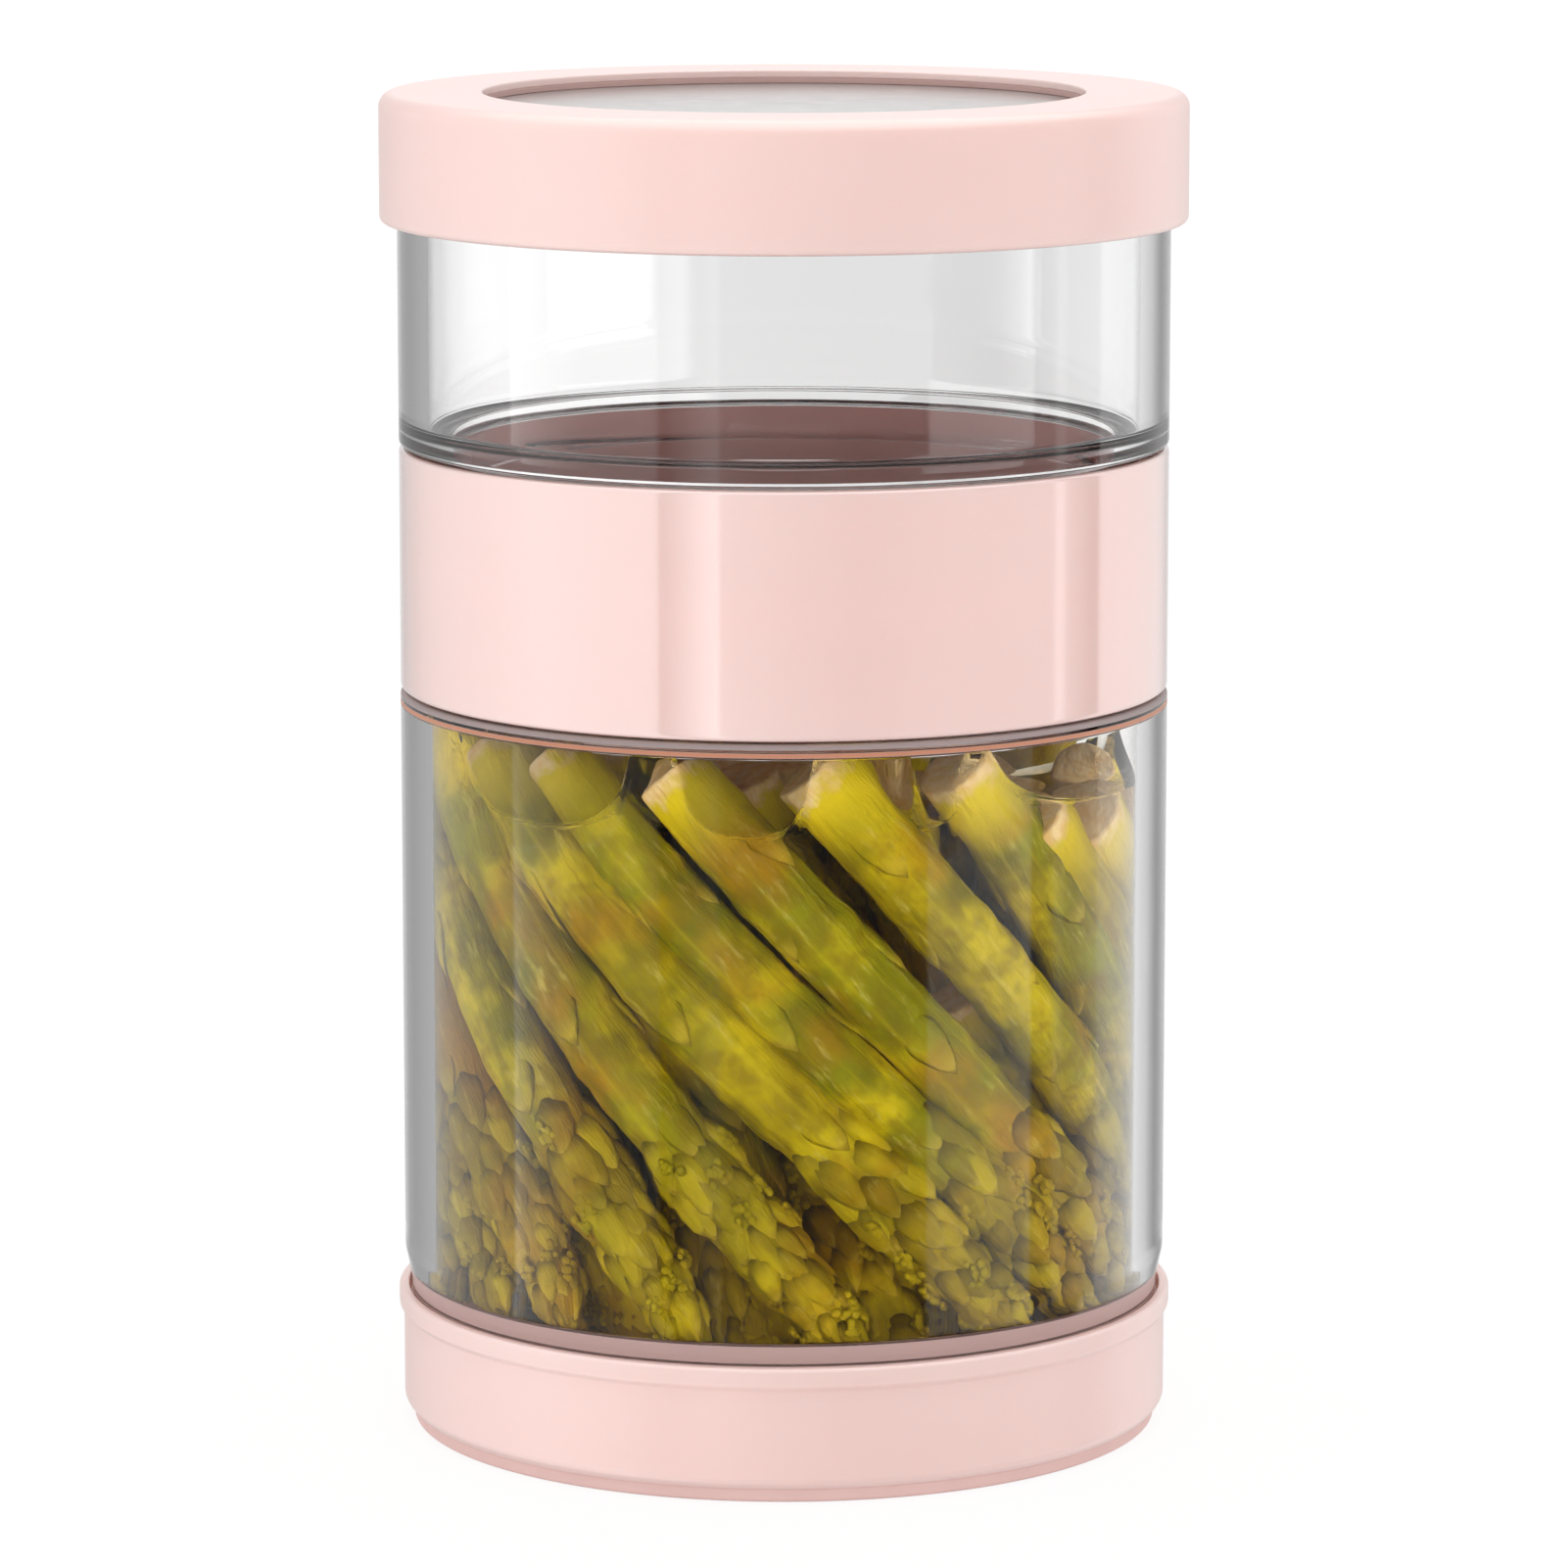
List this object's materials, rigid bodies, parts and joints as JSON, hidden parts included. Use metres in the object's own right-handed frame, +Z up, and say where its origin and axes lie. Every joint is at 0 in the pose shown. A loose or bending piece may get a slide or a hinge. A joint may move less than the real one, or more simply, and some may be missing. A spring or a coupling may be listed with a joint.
{
  "type": "pickle keeper",
  "caption": "Upright round pickle keeper: a short clear chamber over a tall one, joined by a collar with a lift-out strainer, closed by a screw lid with a window and a screw base cap.",
  "frame": {"origin": "centre of the foot ring's underside, on the surface that the keeper stands on", "axes": "+Z up along the keeper's axis, towards the lid; -Y is the side seen in the front view"},
  "size_m": [0.1024, 0.1024, 0.1709],
  "materials": {
    "clear_plastic": "clear, polished",
    "blush_plastic": "satin gloss, blush pink",
    "soft_silicone": "translucent white silicone, matt",
    "blush_silicone": "blush pink silicone, matt"
  },
  "bodies": {
    "base": {"foot_ring": "blush_silicone", "base_cap": "blush_plastic"},
    "base_seal": {"base_gasket": "soft_silicone"},
    "lower_jar": {"lower_chamber": "clear_plastic"},
    "lower_collar_seal": {"lower_collar_gasket": "soft_silicone"},
    "collar": {"collar": "blush_plastic"},
    "strainer": {"strainer": "blush_plastic"},
    "upper_collar_seal": {"upper_collar_gasket": "soft_silicone"},
    "upper_jar": {"upper_chamber": "clear_plastic"},
    "lid_seal": {"lid_gasket": "soft_silicone"},
    "lid": {"lid_shell": "blush_plastic", "window_seal": "soft_silicone", "lid_window": "clear_plastic"}
  },
  "joints": [
    {"name": "base_twist", "type": "hinge", "parent": "base", "child": "base_seal", "pos_m": [0, 0, 0.004], "axis": [0, 0, 1], "range_deg": [0, 720]},
    {"name": "base_rise", "type": "slide", "parent": "base_seal", "child": "lower_jar", "axis": [0, 0, 1], "range_m": [0, 0.024]},
    {"name": "collar_rise", "type": "slide", "parent": "lower_jar", "child": "lower_collar_seal", "axis": [0, 0, 1], "range_m": [0, 0.024]},
    {"name": "collar_twist", "type": "hinge", "parent": "lower_collar_seal", "child": "collar", "pos_m": [0, 0, 0.095], "axis": [0, 0, 1], "range_deg": [0, 720]},
    {"name": "strainer_lift", "type": "slide", "parent": "collar", "child": "strainer", "axis": [0, 0, 1], "range_m": [0, 0.038]},
    {"name": "upper_twist", "type": "hinge", "parent": "collar", "child": "upper_collar_seal", "pos_m": [0, 0, 0.1154], "axis": [0, 0, 1], "range_deg": [0, 720]},
    {"name": "upper_rise", "type": "slide", "parent": "upper_collar_seal", "child": "upper_jar", "axis": [0, 0, 1], "range_m": [0, 0.024]},
    {"name": "lid_rise", "type": "slide", "parent": "upper_jar", "child": "lid_seal", "axis": [0, 0, 1], "range_m": [0, 0.024]},
    {"name": "lid_twist", "type": "hinge", "parent": "lid_seal", "child": "lid", "pos_m": [0, 0, 0.1565], "axis": [0, 0, 1], "range_deg": [0, 720]}
  ],
  "couplings": [
    {"joint": "base_rise", "follows": "base_twist", "m_per_rad": 0.0019098},
    {"joint": "collar_rise", "follows": "collar_twist", "m_per_rad": 0.0019098},
    {"joint": "upper_rise", "follows": "upper_twist", "m_per_rad": 0.0019098},
    {"joint": "lid_rise", "follows": "lid_twist", "m_per_rad": 0.0019098}
  ]
}
